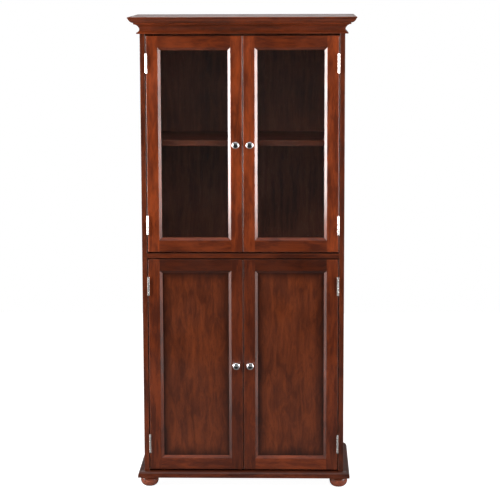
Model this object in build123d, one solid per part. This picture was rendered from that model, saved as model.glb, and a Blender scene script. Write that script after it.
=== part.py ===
from build123d import *
import os

# Tall pantry cabinet: two glazed doors over two panelled doors, a stepped crown on top,
# a moulded base board below and four bun feet. Millimetres, +Z up, front towards -Y.
#
# Everything is drawn with x = 0 on the centre line, y = 0 on the plane of the door faces and
# z = 0 on the floor. write_node() then moves each piece so that the origin of the finished
# model is the bottom centre of its bounding box. Pieces that come in left and right hands are
# drawn on the right, where x is positive, and mirrored.

# ---- driving dimensions: the whole cabinet ---------------------------------------------
TOTAL_HEIGHT = 1702.0
CARCASS_WIDTH = 724.0
CARCASS_DEPTH = 406.0
CROWN_OVERHANG = 40.0      # cornice board beyond the carcass, front and sides
BASE_OVERHANG = 23.0       # base board beyond the carcass, front and sides
FOOT_HEIGHT = 38.0         # floor to the underside of the base board

# ---- boards ----------------------------------------------------------------------------
SIDE_THICKNESS = 18.0
TOP_THICKNESS = 18.0
BASE_THICKNESS = 22.0
CORNICE_THICKNESS = 20.0
CORNICE_LIP = 5.0          # height of the square lip at the cornice board's edge
CORNICE_STEP = 2.0         # how far the moulding below the lip stands back
CORNICE_FALL = 16.5        # how far the cornice board's moulding runs back in all
BASE_LIP = 7.5             # height of the square edge below the base board's round
BASE_ROUND = 12.5          # how far the base board's round runs back
FIXED_SHELF_THICKNESS = 17.0
LOOSE_SHELF_THICKNESS = 19.0
BACK_THICKNESS = 5.0
BACK_REBATE = 9.0          # how far the back panels lap onto the side panels
BOARD_EASE = 1.0           # rounding of the long front edges of the boards

# ---- heights above the floor -----------------------------------------------------------
BASE_TOP = FOOT_HEIGHT + BASE_THICKNESS
FIXED_SHELF_BOTTOM = 843.5
FIXED_SHELF_TOP = FIXED_SHELF_BOTTOM + FIXED_SHELF_THICKNESS
TOP_PANEL_BOTTOM = 1643.0
TOP_PANEL_TOP = TOP_PANEL_BOTTOM + TOP_THICKNESS
CORNICE_BOTTOM = TOTAL_HEIGHT - CORNICE_THICKNESS
UPPER_SHELF_BOTTOM = 1245.5
LOWER_SHELF_BOTTOM = 442.0
BACK_SEAM = FIXED_SHELF_BOTTOM + FIXED_SHELF_THICKNESS / 2

# ---- widths ----------------------------------------------------------------------------
HALF_CARCASS = CARCASS_WIDTH / 2
HALF_INSIDE = HALF_CARCASS - SIDE_THICKNESS
BACK_FRONT = CARCASS_DEPTH - BACK_THICKNESS

# ---- doors -----------------------------------------------------------------------------
DOOR_THICKNESS = 19.0
CENTRE_GAP = 2.5           # between the two doors of a pair
HINGE_GAP = 3.0            # between a door and the side panel
DOOR_LOCK_EDGE = CENTRE_GAP / 2
DOOR_HINGE_EDGE = HALF_INSIDE - HINGE_GAP
LOWER_DOOR = (BASE_TOP + 4.7, FIXED_SHELF_BOTTOM - 4.0)
UPPER_DOOR = (FIXED_SHELF_TOP + 5.8, TOP_PANEL_BOTTOM - 7.0)
FACE_WIDTH = 41.5          # flat face of a stile or rail
STICKING_WIDTH = 9.5       # moulding between that face and the window
DOOR_EASE = 2.0            # rounding of the door's outside front edges
QUIRK = 0.9                # step from the face down to the moulding
BEVEL_DEPTH = 6.2          # fall of the moulding from the quirk to the window
PANE_FRONT = 9.0           # depth of the glass or panel behind the door face
GLASS_THICKNESS = 3.0
PANEL_THICKNESS = 5.0
GLASS_PLAY = 1.0           # all round the glass in its rebate
PANEL_PLAY = 1.5           # all round the panel in its groove
BEAD_PLAY = 0.2            # between a glazing bead and the rebate wall
BEAD_ROUND = 4.0
TENON_LENGTH = 10.0
TENON_THICKNESS = 6.0
TENON_SHOULDER = 8.0       # above and below the tenon

# ---- hinges: butt hinges whose barrels stand in front of the doors ----------------------
HINGE_LENGTH = 66.0
HINGE_INSET = 97.0         # door end to hinge centre
BARREL_RADIUS = 3.8
PIN_RADIUS = 2.5
PIN_FIT = 0.05             # radial clearance in the door knuckles
KNUCKLE_COUNT = 5
KNUCKLE_GAP = 0.4
LEAF_THICKNESS = 1.2
LEAF_DEPTH = 17.0
LEAF_CORNER = 2.0
PIN_HEAD = 0.8
PIN_X = HALF_INSIDE - BARREL_RADIUS
PIN_Y = -(BARREL_RADIUS + 0.4)
FRAME_LEAF_FACE = HALF_INSIDE - LEAF_THICKNESS
DOOR_LEAF_FACE = DOOR_HINGE_EDGE + LEAF_THICKNESS
HINGE_SCREW_SPOTS = ((6.0, -24.0), (12.0, 0.0), (6.0, 24.0))

# ---- wood screws -----------------------------------------------------------------------
SCREW_LENGTH = 14.0
SCREW_RADIUS = 1.7
SCREW_HEAD_RADIUS = 3.3
SCREW_HEAD_DEPTH = 1.8
SCREW_TIP = 3.0
SCREW_POINT_RADIUS = 0.3
RECESS_WIDTH = 0.8
RECESS_SPAN = 3.6
RECESS_DEPTH = 0.9
BACK_SCREW_COUNT = 5       # down each side of a back panel
BACK_SCREW_INSET = 30.0    # end of the back panel to its first screw
BACK_SCREW_TOP_X = (-220.0, 0.0, 220.0)

# ---- knobs and catches -----------------------------------------------------------------
KNOB_X = 25.0
KNOB_PROJECTION = 24.0
KNOB_RADIUS = 13.3
KNOB_FOOT_RADIUS = 8.5
KNOB_WAIST_RADIUS = 5.6
KNOB_NECK = (9.6, 13.2)    # radius and height where the waist meets the rim
KNOB_RIM_HEIGHT = 18.2     # height of the widest part
KNOB_LAND = 1.4            # flat between the rim and the dish
KNOB_DISH_RADIUS = 8.0
KNOB_DISH_DEPTH = 1.6
KNOB_SCREW_RADIUS = 2.0
KNOB_SCREW_REACH = 10.0    # how far the screw enters the knob
KNOB_SCREW_HEAD = (4.0, 2.2)
CATCH_X = KNOB_X
CATCH_WIDTH = 28.0
CATCH_EAR = 8.0            # screw ear on each side of the catch
CATCH_EAR_HEIGHT = 3.0
CATCH_HEIGHT = 16.0
CATCH_DEPTH = 15.0
CATCH_CLEARANCE = 0.4      # from the strike plate to the catch
STRIKE_SIZE = (26.0, 1.2, 13.0)
STRIKE_DROP = 7.5          # door top to the centre of the strike plate
STRIKE_CORNER = 2.0

# ---- loose shelves ---------------------------------------------------------------------
SHELF_FRONT = 25.0
SHELF_BACK_GAP = 1.5
SHELF_END_GAP = 2.0
PIN_SPOTS_Y = (70.0, 350.0)
PIN_HOLE_RADIUS = 2.5
PIN_HOLE_DEPTH = 9.0
PIN_HOLE_PITCH = 32.0
PIN_PLATE = (1.5, 10.0, 14.0)
PIN_TONGUE = (9.0, 10.0, 3.0)

# ---- knock-down joinery ----------------------------------------------------------------
FITTING_SPOTS_Y = (60.0, 340.0)
CAM_RADIUS = 7.5
CAM_DEPTH = 12.5
CAM_OFFSET = 24.0          # joint face to the centre of the cam
CAM_SLOT = (9.0, 1.6, 2.0)
BOLT_RADIUS = 2.5
BOLT_THREAD_RADIUS = 3.5
BOLT_THREAD_LENGTH = 11.0
DOWEL_SPOTS_Y = (110.0, 290.0)
DOWEL_RADIUS = 4.0
DOWEL_IN_FACE = 12.0
DOWEL_IN_EDGE = 18.0

# ---- feet ------------------------------------------------------------------------------
FOOT_RADIUS = 32.5
FOOT_INSET = 40.0          # edge of the base board to the centre of the foot
FOOT_BOTTOM_RADIUS = 19.0
FOOT_TOP_RADIUS = 24.0
FOOT_WIDEST = 25.0         # height of the foot's widest part
GLIDE_RADIUS = 12.0
GLIDE_THICKNESS = 1.5
FOOT_BOLT_RADIUS = 4.0
FOOT_BOLT_FROM = 14.0
FOOT_BOLT_TO = 56.0


# ---- small helpers ---------------------------------------------------------------------
def block(x0, x1, y0, y1, z0, z1):
    """Box between two corners."""
    middle = Pos((x0 + x1) / 2, (y0 + y1) / 2, (z0 + z1) / 2)
    return middle * Box(x1 - x0, y1 - y0, z1 - z0)


def rod_x(radius, x0, x1, y, z):
    """Round rod along X."""
    return Pos((x0 + x1) / 2, y, z) * Rot(0, 90, 0) * Cylinder(radius, x1 - x0)


def rod_z(radius, x, y, z0, z1):
    """Round rod along Z."""
    return Pos(x, y, (z0 + z1) / 2) * Cylinder(radius, z1 - z0)


def prism_xz(points, y0, y1):
    """Prism over a polygon of (x, z) points, from y0 to y1."""
    outline = Plane.XZ.offset(-y0) * make_face(Polyline(*points, close=True))
    return extrude(outline, amount=y0 - y1)


def prism_xy(points, z0, z1):
    """Prism over a polygon of (x, y) points, from z0 to z1."""
    outline = Plane.XY.offset(z0) * make_face(Polyline(*points, close=True))
    return extrude(outline, amount=z1 - z0)


def prism_yz(points, x0, x1):
    """Prism over a polygon of (y, z) points, from x0 to x1."""
    outline = Plane.YZ.offset(x0) * make_face(Polyline(*points, close=True))
    return extrude(outline, amount=x1 - x0)


def section(*runs):
    """Face bounded by lines and arcs that meet end to end."""
    edges = []
    for run in runs:
        edges.extend(run.edges())
    return make_face(edges)


def mirrored(shape):
    """The left-hand copy of a right-hand piece."""
    return mirror(shape, about=Plane.YZ)


def both_hands(shapes):
    """Right-hand shapes followed by their left-hand copies."""
    return list(shapes) + [mirrored(shape) for shape in shapes]


def carve(host, tools):
    """Cuts every tool out of the host."""
    for tool in tools:
        host = host - tool
    return host


def ease(shape, edges, radius):
    """Rounds the given edges of a shape."""
    return fillet(edges, radius) if edges else shape


def write_node(name, shapes):
    """Writes one piece, or a group of like pieces, as parts/NAME.step."""
    solids = []
    for shape in shapes:
        solids.extend(shape.solids())
    to_origin = Pos(0, (CROWN_OVERHANG - CARCASS_DEPTH) / 2, 0)
    moved = [to_origin * solid for solid in solids]
    whole = moved[0] if len(moved) == 1 else Compound(children=moved)
    export_step(whole, f"parts/{name}.step")


# ---- fasteners -------------------------------------------------------------------------
def screw_body():
    """Countersunk wood screw pointing along +Z, the face of its head at z = 0."""
    head = Pos(0, 0, SCREW_HEAD_DEPTH / 2)
    body = head * Cone(SCREW_HEAD_RADIUS, SCREW_RADIUS, SCREW_HEAD_DEPTH)
    shank_end = SCREW_LENGTH - SCREW_TIP
    body += rod_z(SCREW_RADIUS, 0, 0, SCREW_HEAD_DEPTH, shank_end)
    body += Pos(0, 0, shank_end + SCREW_TIP / 2) * Cone(SCREW_RADIUS, SCREW_POINT_RADIUS, SCREW_TIP)
    return body


def wood_screw():
    """The same screw with a cross recess in its head."""
    arm = block(-RECESS_SPAN / 2, RECESS_SPAN / 2, -RECESS_WIDTH / 2, RECESS_WIDTH / 2, 0, RECESS_DEPTH)
    return screw_body() - arm - Rot(0, 0, 90) * arm


def hinge_centres(door):
    """Heights of the two hinges of a door."""
    bottom, top = door
    return bottom + HINGE_INSET, top - HINGE_INSET


def hinge_screw_places(door, face_x, turn):
    """Where the hinge screws of one door sit on the leaf face at face_x."""
    places = []
    for centre in hinge_centres(door):
        for y, z in HINGE_SCREW_SPOTS:
            places.append(Pos(face_x, y, centre + z) * Rot(0, turn, 0))
    return places


def frame_hinge_screw_places(door):
    """Screws through the frame leaves into the right side panel."""
    return hinge_screw_places(door, FRAME_LEAF_FACE, 90)


def door_hinge_screw_places(door):
    """Screws through the door leaves into the hinge stile."""
    return hinge_screw_places(door, DOOR_LEAF_FACE, -90)


def catch_screw_places(ceiling):
    """Screws up through the two ears of the right-hand catch below a ceiling."""
    reach = (CATCH_WIDTH + CATCH_EAR) / 2
    y = catch_front() + CATCH_DEPTH / 2
    return [Pos(CATCH_X + side * reach, y, ceiling - CATCH_EAR_HEIGHT) for side in (-1, 1)]


def strike_screw_place(door):
    """Screw through the strike plate into the back of the lock stile."""
    face_y = DOOR_THICKNESS + STRIKE_SIZE[1]
    return Pos(CATCH_X, face_y, door[1] - STRIKE_DROP) * Rot(90, 0, 0)


def back_screw_places():
    """Screws that hold the two back panels to the side panels and the top panel."""
    face = Rot(90, 0, 0)
    lap = HALF_INSIDE + BACK_REBATE / 2
    places = []
    for low, high in ((BASE_TOP, BACK_SEAM), (BACK_SEAM, CORNICE_BOTTOM)):
        pitch = (high - low - 2 * BACK_SCREW_INSET) / (BACK_SCREW_COUNT - 1)
        for step in range(BACK_SCREW_COUNT):
            z = low + BACK_SCREW_INSET + pitch * step
            places.extend(Pos(side * lap, CARCASS_DEPTH, z) * face for side in (-1, 1))
    top_line = TOP_PANEL_BOTTOM + TOP_THICKNESS / 2
    places.extend(Pos(x, CARCASS_DEPTH, top_line) * face for x in BACK_SCREW_TOP_X)
    return places


def placed(shape, places):
    """Copies of one shape at each place."""
    return [place * shape for place in places]


def cam_bolt_x(y, z):
    """Steel bolt from the right side panel into the end of a shelf."""
    thread = rod_x(BOLT_THREAD_RADIUS, HALF_INSIDE, HALF_INSIDE + BOLT_THREAD_LENGTH, y, z)
    return thread + rod_x(BOLT_RADIUS, HALF_INSIDE - CAM_OFFSET, HALF_INSIDE, y, z)


def cam_bolt_z(y):
    """Steel bolt from the base board up into the right side panel."""
    x = HALF_INSIDE + CAM_DEPTH / 2
    thread = rod_z(BOLT_THREAD_RADIUS, x, y, BASE_TOP - BOLT_THREAD_LENGTH, BASE_TOP)
    return thread + rod_z(BOLT_RADIUS, x, y, BASE_TOP, BASE_TOP + CAM_OFFSET)


def cam():
    """Cam lock with a driver slot, its slotted face at z = 0 and its body above."""
    length, width, depth = CAM_SLOT
    slot = block(-length / 2, length / 2, -width / 2, width / 2, 0, depth)
    return rod_z(CAM_RADIUS, 0, 0, 0, CAM_DEPTH) - slot


def cam_blank():
    """The plain hole that a cam lock sits in."""
    return rod_z(CAM_RADIUS, 0, 0, 0, CAM_DEPTH)


def cam_places():
    """Places of the right-hand cam locks: below the fixed shelf, on the top panel, at the foot."""
    x = HALF_INSIDE - CAM_OFFSET
    places = []
    for y in FITTING_SPOTS_Y:
        places.append(Pos(x, y, FIXED_SHELF_BOTTOM))
        places.append(Pos(x, y, TOP_PANEL_TOP) * Rot(180, 0, 0))
        places.append(Pos(HALF_INSIDE, y, BASE_TOP + CAM_OFFSET) * Rot(0, 90, 0))
    return places


def cam_bolts():
    """The right-hand cam bolts."""
    shelf_line = FIXED_SHELF_BOTTOM + FIXED_SHELF_THICKNESS / 2
    top_line = TOP_PANEL_BOTTOM + TOP_THICKNESS / 2
    bolts = []
    for y in FITTING_SPOTS_Y:
        bolts.append(cam_bolt_x(y, shelf_line))
        bolts.append(cam_bolt_x(y, top_line))
        bolts.append(cam_bolt_z(y))
    return bolts


def dowels():
    """The right-hand wooden dowels of the shelf, top, base and cornice joints."""
    shelf_line = FIXED_SHELF_BOTTOM + FIXED_SHELF_THICKNESS / 2
    top_line = TOP_PANEL_BOTTOM + TOP_THICKNESS / 2
    side_line = HALF_CARCASS - SIDE_THICKNESS / 2
    pegs = []
    for y in DOWEL_SPOTS_Y:
        for z in (shelf_line, top_line):
            pegs.append(rod_x(DOWEL_RADIUS, HALF_INSIDE - DOWEL_IN_EDGE, HALF_INSIDE + DOWEL_IN_FACE, y, z))
        pegs.append(rod_z(DOWEL_RADIUS, side_line, y, BASE_TOP - DOWEL_IN_FACE, BASE_TOP + DOWEL_IN_EDGE))
        pegs.append(rod_z(DOWEL_RADIUS, side_line, y, CORNICE_BOTTOM - DOWEL_IN_EDGE,
                          CORNICE_BOTTOM + DOWEL_IN_FACE))
    return pegs


# ---- loose shelves and their pins --------------------------------------------------------
def shelf_pin(y, shelf_bottom):
    """Right-hand shelf support: peg, wall plate and the tongue under the shelf."""
    plate_x, plate_y, plate_z = PIN_PLATE
    tongue_x, tongue_y, tongue_z = PIN_TONGUE
    inner = HALF_INSIDE - plate_x
    low = shelf_bottom - tongue_z
    plate = block(inner, HALF_INSIDE, y - plate_y / 2, y + plate_y / 2, low, low + plate_z)
    tongue = block(inner - tongue_x, inner, y - tongue_y / 2, y + tongue_y / 2, low, shelf_bottom)
    peg = rod_x(PIN_HOLE_RADIUS, HALF_INSIDE, HALF_INSIDE + PIN_HOLE_DEPTH, y, low + plate_z / 2)
    return plate + tongue + peg


def shelf_pins():
    """Right-hand shelf supports of both loose shelves."""
    levels = (UPPER_SHELF_BOTTOM, LOWER_SHELF_BOTTOM)
    return [shelf_pin(y, level) for level in levels for y in PIN_SPOTS_Y]


def pin_holes():
    """Rows of peg holes in the right side panel, five to a row."""
    holes = []
    for level in (UPPER_SHELF_BOTTOM, LOWER_SHELF_BOTTOM):
        middle = level - PIN_TONGUE[2] + PIN_PLATE[2] / 2
        for y in PIN_SPOTS_Y:
            for step in range(-2, 3):
                z = middle + step * PIN_HOLE_PITCH
                holes.append(rod_x(PIN_HOLE_RADIUS, HALF_INSIDE, HALF_INSIDE + PIN_HOLE_DEPTH, y, z))
    return holes


def loose_shelf(bottom):
    """Adjustable shelf resting on four pins."""
    half = HALF_INSIDE - SHELF_END_GAP
    top = bottom + LOOSE_SHELF_THICKNESS
    shelf = block(-half, half, SHELF_FRONT, BACK_FRONT - SHELF_BACK_GAP, bottom, top)
    return ease(shelf, shelf.edges().filter_by(Axis.X).group_by(Axis.Y)[0], BOARD_EASE)


# ---- carcass boards ----------------------------------------------------------------------
def side_panel():
    """Right side panel with its back rebate, peg holes and fastener holes."""
    panel = block(HALF_INSIDE, HALF_CARCASS, 0, CARCASS_DEPTH, BASE_TOP, CORNICE_BOTTOM)
    panel = ease(panel, panel.edges().filter_by(Axis.Z).group_by(Axis.Y)[0], BOARD_EASE)
    lap = HALF_INSIDE + BACK_REBATE
    panel -= block(HALF_INSIDE, lap, BACK_FRONT, CARCASS_DEPTH, BASE_TOP, CORNICE_BOTTOM)
    screw = screw_body()
    tools = pin_holes() + dowels() + cam_bolts() + placed(cam_blank(), cam_places()[2::3])
    for door in (LOWER_DOOR, UPPER_DOOR):
        tools += placed(screw, frame_hinge_screw_places(door))
    tools += placed(screw, back_screw_places()[1:20:2])
    return carve(panel, tools)


def top_panel():
    """Board between the side panels, behind the crown."""
    panel = block(-HALF_INSIDE, HALF_INSIDE, 0, BACK_FRONT, TOP_PANEL_BOTTOM, TOP_PANEL_TOP)
    screw = screw_body()
    tools = both_hands(dowels() + cam_bolts() + placed(cam_blank(), cam_places()[1::3]))
    tools += both_hands(placed(screw, catch_screw_places(TOP_PANEL_BOTTOM)))
    tools += placed(screw, back_screw_places()[-3:])
    return carve(panel, tools)


def fixed_shelf():
    """Divider between the compartments; its front edge is the rail between the doors."""
    shelf = block(-HALF_INSIDE, HALF_INSIDE, 0, BACK_FRONT, FIXED_SHELF_BOTTOM, FIXED_SHELF_TOP)
    shelf = ease(shelf, shelf.edges().filter_by(Axis.X).group_by(Axis.Y)[0], BOARD_EASE)
    tools = both_hands(dowels() + cam_bolts() + placed(cam_blank(), cam_places()[0::3]))
    tools += both_hands(placed(screw_body(), catch_screw_places(FIXED_SHELF_BOTTOM)))
    return carve(shelf, tools)


def back_panel(bottom, top, screw_places):
    """Thin back panel let into the side panels."""
    half = HALF_INSIDE + BACK_REBATE
    panel = block(-half, half, BACK_FRONT, CARCASS_DEPTH, bottom, top)
    return carve(panel, placed(screw_body(), screw_places))


# ---- mouldings -----------------------------------------------------------------------------
# A moulding outline is drawn as (projection from the carcass face, height above the floor).
def run_front(outline):
    """Extrudes a moulding outline across the front of the cabinet."""
    plane = Plane(origin=(0, 0, 0), x_dir=(0, -1, 0), z_dir=(-1, 0, 0))
    return extrude(plane * outline, amount=HALF_CARCASS + CROWN_OVERHANG, both=True)


def run_side(outline):
    """Extrudes a moulding outline along the right side of the cabinet."""
    plane = Plane(origin=(HALF_CARCASS, CARCASS_DEPTH, 0), x_dir=(1, 0, 0), z_dir=(0, -1, 0))
    return extrude(plane * outline, amount=CARCASS_DEPTH + CROWN_OVERHANG)


def moulded_board(overhang, z0, z1, waste):
    """Board with the waste outline cut from its front and side edges."""
    half = HALF_CARCASS + overhang
    board = block(-half, half, -overhang, CARCASS_DEPTH, z0, z1)
    side_waste = run_side(waste)
    return board - run_front(waste) - side_waste - mirrored(side_waste)


def cornice_waste():
    """What is cut below the cornice board's edge: a small step, then a flattened ovolo."""
    step_z = TOTAL_HEIGHT - CORNICE_LIP
    step_p = CROWN_OVERHANG - CORNICE_STEP
    foot_p = CROWN_OVERHANG - CORNICE_FALL
    low = CORNICE_BOTTOM
    arc = ThreePointArc((step_p, step_z), (step_p - 5.4, step_z - 9.4), (foot_p, low))
    rest = Polyline((foot_p, low), (CROWN_OVERHANG, low), (CROWN_OVERHANG, step_z), (step_p, step_z))
    return section(arc, rest)


def cornice_board():
    """Board that caps the cabinet."""
    board = moulded_board(CROWN_OVERHANG, CORNICE_BOTTOM, TOTAL_HEIGHT, cornice_waste())
    return carve(board, both_hands(dowels()))


def base_waste():
    """What is cut above the base board's edge: one broad round."""
    round_z = FOOT_HEIGHT + BASE_LIP
    top_p = BASE_OVERHANG - BASE_ROUND
    arc = ThreePointArc((BASE_OVERHANG, round_z), (BASE_OVERHANG - 3.6, round_z + 9.4), (top_p, BASE_TOP))
    rest = Polyline((top_p, BASE_TOP), (BASE_OVERHANG, BASE_TOP), (BASE_OVERHANG, round_z))
    return section(arc, rest)


def base_board():
    """Moulded board that the cabinet stands on; its top is the floor of the lower compartment."""
    board = moulded_board(BASE_OVERHANG, FOOT_HEIGHT, BASE_TOP, base_waste())
    tools = both_hands(dowels() + cam_bolts()) + [foot_bolt(place) for place in foot_places().values()]
    return carve(board, tools)


def crown_outline():
    """Crown moulding: bead, flare, neck, cove and top fillet."""
    low = TOP_PANEL_BOTTOM
    high = CORNICE_BOTTOM
    bead = Polyline((0, high), (0, low), (10.5, low), (10.5, low + 4.5), (9.3, low + 4.5))
    flare = ThreePointArc((9.3, low + 4.5), (4.0, low + 8.2), (0.8, low + 14.0))
    neck = Line((0.8, low + 14.0), (0.8, low + 18.0))
    cove = ThreePointArc((0.8, low + 18.0), (7.0, low + 28.0), (18.0, low + 33.5))
    fillet_top = Polyline((18.0, low + 33.5), (20.5, low + 33.5), (20.5, high), (0, high))
    return section(bead, flare, neck, cove, fillet_top)


def crown_front():
    """Front length of the crown moulding, mitred at both ends."""
    wide = HALF_CARCASS + CROWN_OVERHANG
    corner = [(-wide, -CROWN_OVERHANG), (wide, -CROWN_OVERHANG), (HALF_CARCASS, 0), (-HALF_CARCASS, 0)]
    return run_front(crown_outline()) & prism_xy(corner, TOP_PANEL_BOTTOM, CORNICE_BOTTOM)


def crown_side():
    """Right-hand length of the crown moulding, mitred at the front."""
    wide = HALF_CARCASS + CROWN_OVERHANG
    back = CARCASS_DEPTH
    corner = [(HALF_CARCASS, 0), (wide, -CROWN_OVERHANG), (wide, back), (HALF_CARCASS, back)]
    return run_side(crown_outline()) & prism_xy(corner, TOP_PANEL_BOTTOM, CORNICE_BOTTOM)


# ---- feet ------------------------------------------------------------------------------------
def foot_places():
    """Plan position of each foot."""
    x = HALF_CARCASS + BASE_OVERHANG - FOOT_INSET
    rows = {"front": FOOT_INSET - BASE_OVERHANG, "rear": CARCASS_DEPTH - FOOT_INSET}
    sides = {"left": -x, "right": x}
    return {f"{row}_{side}": (sides[side], rows[row]) for row in rows for side in sides}


def foot_bolt(place):
    """Steel stud that joins a foot to the base board."""
    return rod_z(FOOT_BOLT_RADIUS, *place, FOOT_BOLT_FROM, FOOT_BOLT_TO)


def foot_glide(place):
    """Plastic glide under a foot."""
    return rod_z(GLIDE_RADIUS, *place, 0, GLIDE_THICKNESS)


def bun_foot(place):
    """Turned bun foot, fullest just above its middle."""
    rim = (FOOT_RADIUS, FOOT_WIDEST)
    shoulder = ThreePointArc((FOOT_TOP_RADIUS, FOOT_HEIGHT), (30.4, 33.6), rim)
    belly = ThreePointArc(rim, (29.2, 10.6), (FOOT_BOTTOM_RADIUS, GLIDE_THICKNESS))
    core = Polyline((FOOT_BOTTOM_RADIUS, GLIDE_THICKNESS), (0, GLIDE_THICKNESS), (0, FOOT_HEIGHT),
                    (FOOT_TOP_RADIUS, FOOT_HEIGHT))
    outline = Plane.XZ * section(shoulder, belly, core)
    return Pos(*place, 0) * revolve(outline, Axis.Z) - foot_bolt(place)


# ---- hinges -----------------------------------------------------------------------------------
def knuckle_spans(centre, first):
    """Heights of every second knuckle, from the given one."""
    pitch = (HINGE_LENGTH + KNUCKLE_GAP) / KNUCKLE_COUNT
    low = centre - HINGE_LENGTH / 2
    return [(low + i * pitch, low + (i + 1) * pitch - KNUCKLE_GAP) for i in range(first, KNUCKLE_COUNT, 2)]


def hinge_leaf(centre, x0, x1, first, bore, screw_places):
    """Right-hand leaf: plate in the gap, tabs forward to the barrel, knuckles and screw holes."""
    half = HINGE_LENGTH / 2
    leaf = block(x0, x1, 0, LEAF_DEPTH, centre - half, centre + half)
    leaf = ease(leaf, leaf.edges().filter_by(Axis.X).group_by(Axis.Y)[-1], LEAF_CORNER)
    for z0, z1 in knuckle_spans(centre, first):
        leaf += block(x0, x1, PIN_Y, 0, z0, z1)
        leaf += rod_z(BARREL_RADIUS, PIN_X, PIN_Y, z0, z1)
    leaf -= rod_z(bore, PIN_X, PIN_Y, centre - half, centre + half)
    return carve(leaf, placed(screw_body(), screw_places))


def frame_leaf(door, index):
    """Leaf on the right side panel, with the first, third and fifth knuckles."""
    centre = hinge_centres(door)[index]
    places = frame_hinge_screw_places(door)[3 * index:3 * index + 3]
    return hinge_leaf(centre, FRAME_LEAF_FACE, HALF_INSIDE, 0, PIN_RADIUS, places)


def door_leaf(door, index):
    """Leaf on the edge of the right-hand door, with the second and fourth knuckles."""
    centre = hinge_centres(door)[index]
    places = door_hinge_screw_places(door)[3 * index:3 * index + 3]
    return hinge_leaf(centre, DOOR_HINGE_EDGE, DOOR_LEAF_FACE, 1, PIN_RADIUS + PIN_FIT, places)


def hinge_pin(centre):
    """Hinge pin with a flat head at each end."""
    half = HINGE_LENGTH / 2
    pin = rod_z(PIN_RADIUS, PIN_X, PIN_Y, centre - half, centre + half)
    pin += rod_z(BARREL_RADIUS, PIN_X, PIN_Y, centre + half, centre + half + PIN_HEAD)
    return pin + rod_z(BARREL_RADIUS, PIN_X, PIN_Y, centre - half - PIN_HEAD, centre - half)


# ---- catches and knobs --------------------------------------------------------------------------
def catch_front():
    """Depth at which the catch bodies start, just behind the strike plates."""
    return DOOR_THICKNESS + STRIKE_SIZE[1] + CATCH_CLEARANCE


def catch_body(ceiling):
    """Right-hand magnetic catch hung below a ceiling, with a screw ear on each side."""
    front = catch_front()
    back = front + CATCH_DEPTH
    half = CATCH_WIDTH / 2
    body = block(CATCH_X - half, CATCH_X + half, front, back, ceiling - CATCH_HEIGHT, ceiling)
    reach = half + CATCH_EAR
    body += block(CATCH_X - reach, CATCH_X + reach, front, back, ceiling - CATCH_EAR_HEIGHT, ceiling)
    return carve(body, placed(screw_body(), catch_screw_places(ceiling)))


def strike_plate(door):
    """Right-hand steel plate on the back of the lock stile."""
    width, depth, height = STRIKE_SIZE
    centre = Pos(CATCH_X, DOOR_THICKNESS + depth / 2, door[1] - STRIKE_DROP)
    plate = centre * Box(width, depth, height)
    plate = ease(plate, plate.edges().filter_by(Axis.Y), STRIKE_CORNER)
    return plate - strike_screw_place(door) * screw_body()


def knob_height(door):
    """Knobs sit at mid height on their doors."""
    return (door[0] + door[1]) / 2


def knob_screw(door):
    """Right-hand machine screw through the lock stile into the knob."""
    head_radius, head_height = KNOB_SCREW_HEAD
    shank = DOOR_THICKNESS + KNOB_SCREW_REACH
    screw = rod_z(KNOB_SCREW_RADIUS, 0, 0, 0, shank) + rod_z(head_radius, 0, 0, -head_height, 0)
    return Pos(KNOB_X, DOOR_THICKNESS, knob_height(door)) * Rot(90, 0, 0) * screw


def knob(door):
    """Right-hand round knob: foot, waist, rounded rim and a shallow dish in its face."""
    rim_inner = KNOB_DISH_RADIUS + KNOB_LAND
    foot_top = (KNOB_FOOT_RADIUS, 2.0)
    foot = Polyline((0, 0), (KNOB_FOOT_RADIUS, 0), foot_top)
    waist = ThreePointArc(foot_top, (KNOB_WAIST_RADIUS, 7.0), KNOB_NECK)
    rim = ThreePointArc(KNOB_NECK, (KNOB_RADIUS, KNOB_RIM_HEIGHT), (rim_inner, KNOB_PROJECTION))
    face = Polyline((rim_inner, KNOB_PROJECTION), (0, KNOB_PROJECTION), (0, 0))
    turned = revolve(Plane.XZ * section(foot, waist, rim, face), Axis.Z)
    dish_radius = (KNOB_DISH_RADIUS ** 2 + KNOB_DISH_DEPTH ** 2) / (2 * KNOB_DISH_DEPTH)
    turned -= Pos(0, 0, KNOB_PROJECTION - KNOB_DISH_DEPTH + dish_radius) * Sphere(dish_radius)
    return Pos(KNOB_X, 0, knob_height(door)) * Rot(90, 0, 0) * turned - knob_screw(door)


# ---- doors ------------------------------------------------------------------------------------
def window(door, inset, y0, y1):
    """Block over the door's window, inset from the door's edges."""
    bottom, top = door
    return block(DOOR_LOCK_EDGE + inset, DOOR_HINGE_EDGE - inset, y0, y1, bottom + inset, top - inset)


def bevel_waste(door):
    """What the sloped moulding leaves open: it narrows from the quirk to the window."""
    bottom, top = door
    full = FACE_WIDTH + STICKING_WIDTH
    deep = QUIRK + BEVEL_DEPTH
    left, right = DOOR_LOCK_EDGE, DOOR_HINGE_EDGE
    plan = [(left + FACE_WIDTH, QUIRK), (right - FACE_WIDTH, QUIRK),
            (right - full, deep), (left + full, deep)]
    profile = [(QUIRK, bottom + FACE_WIDTH), (QUIRK, top - FACE_WIDTH),
               (deep, top - full), (deep, bottom + full)]
    return prism_xy(plan, bottom, top) & prism_yz(profile, left, right)


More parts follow.
